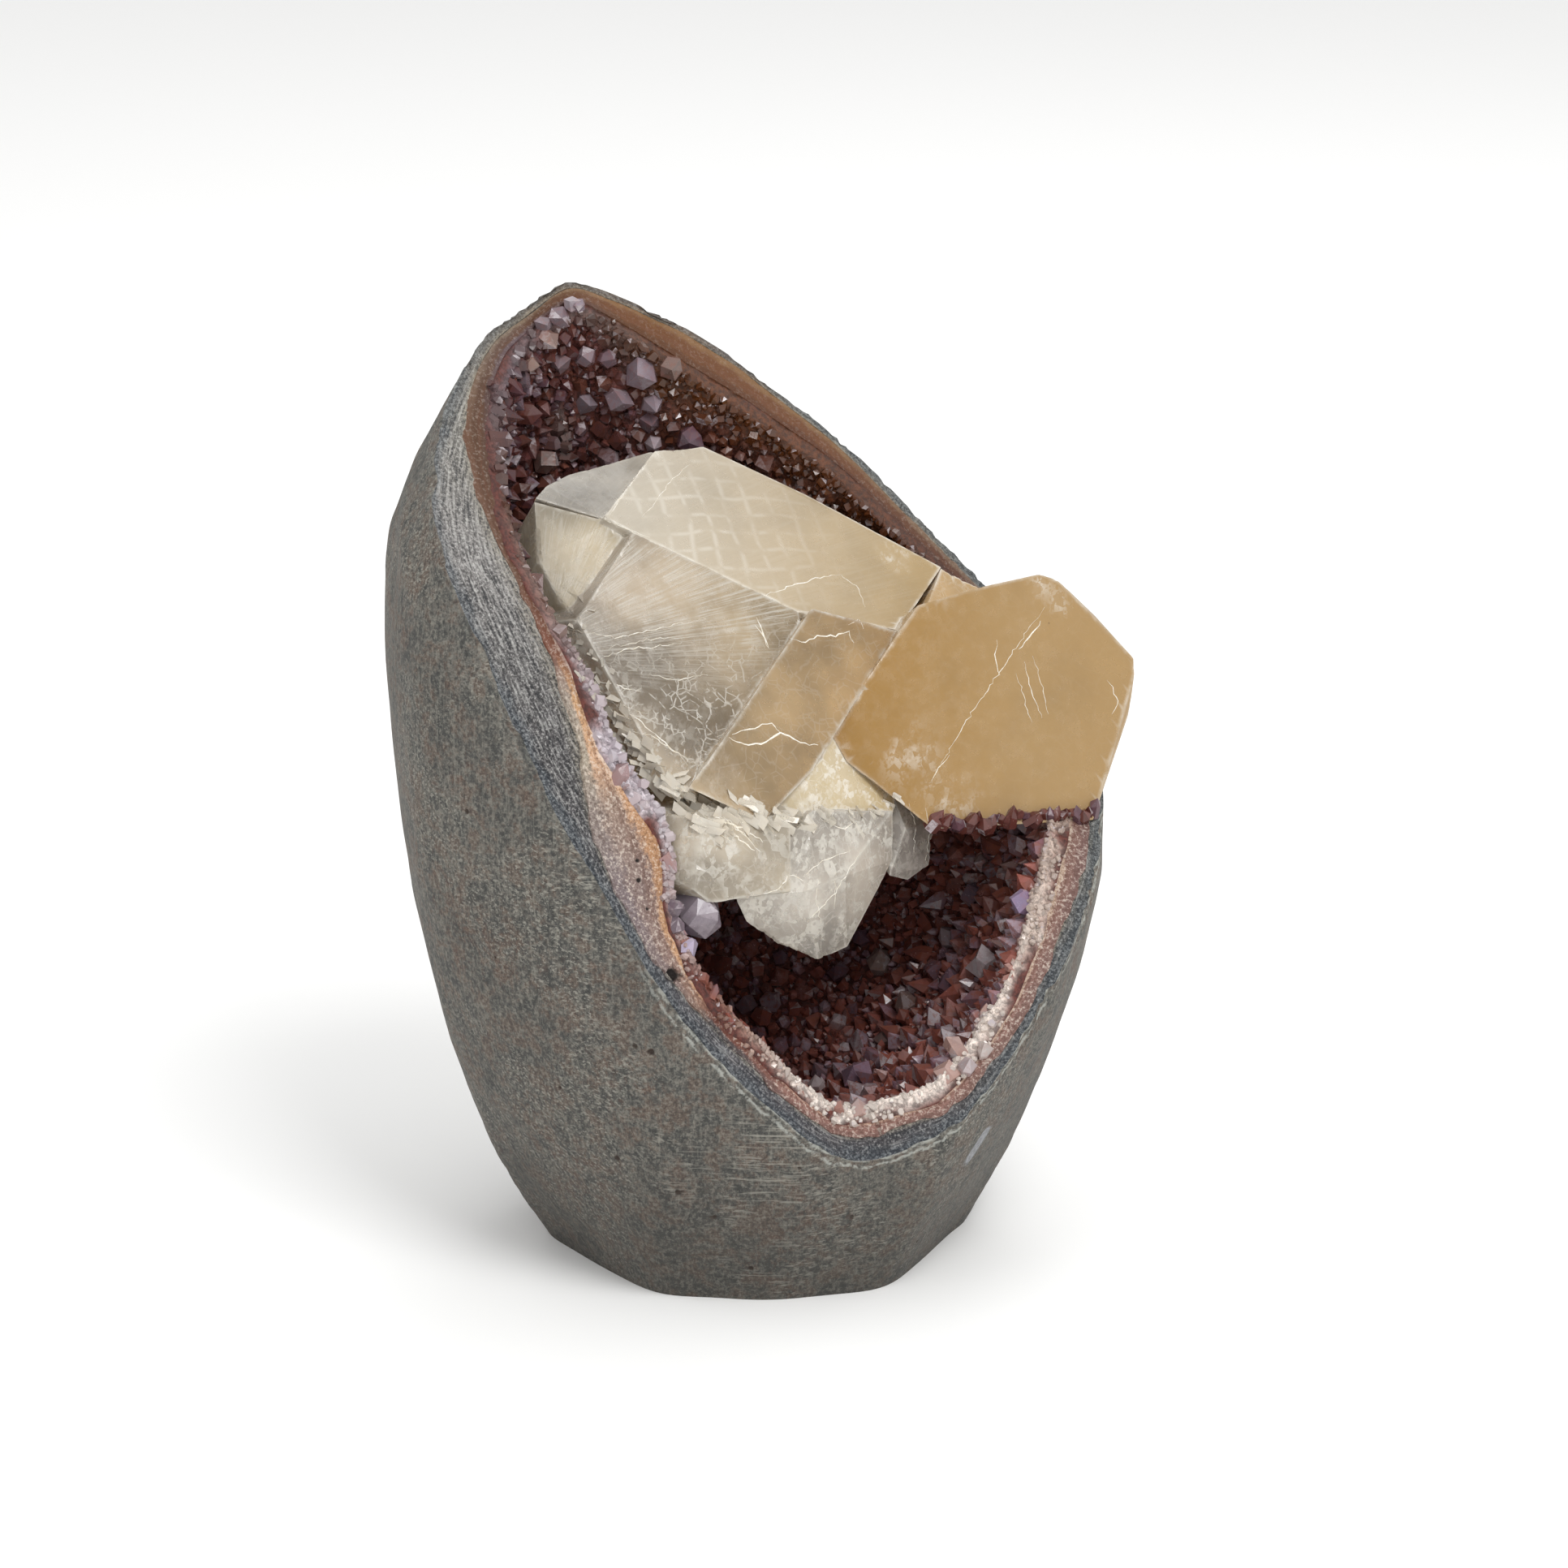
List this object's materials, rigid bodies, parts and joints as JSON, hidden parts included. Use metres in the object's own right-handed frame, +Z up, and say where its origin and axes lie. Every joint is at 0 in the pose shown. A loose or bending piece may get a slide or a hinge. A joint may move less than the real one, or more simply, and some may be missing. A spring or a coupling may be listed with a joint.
{
  "type": "amethyst geode",
  "caption": "Free-standing cut amethyst geode on a flat ground base, its slanted mouth open on a dark purple druse with a cluster of honey calcite grown across it.",
  "frame": {"origin": "centre of the flat ground base that the stone stands on", "axes": "+Z up from the base, -Y out of the mouth towards the viewer, +X to the viewer's right"},
  "size_m": [0.1416, 0.1144, 0.1785],
  "materials": {
    "basalt": "ground, matt, with fine wheel scratches",
    "agate": "sawn and ground, waxy, banded orange and cream",
    "amethyst": "natural glassy crystal points",
    "calcite": "natural cleavage faces, see-through with milky veils"
  },
  "bodies": {
    "root": {"basalt_shell": "basalt", "agate_band": "agate", "amethyst_crust": "amethyst", "calcite_cluster": "calcite"}
  },
  "joints": []
}
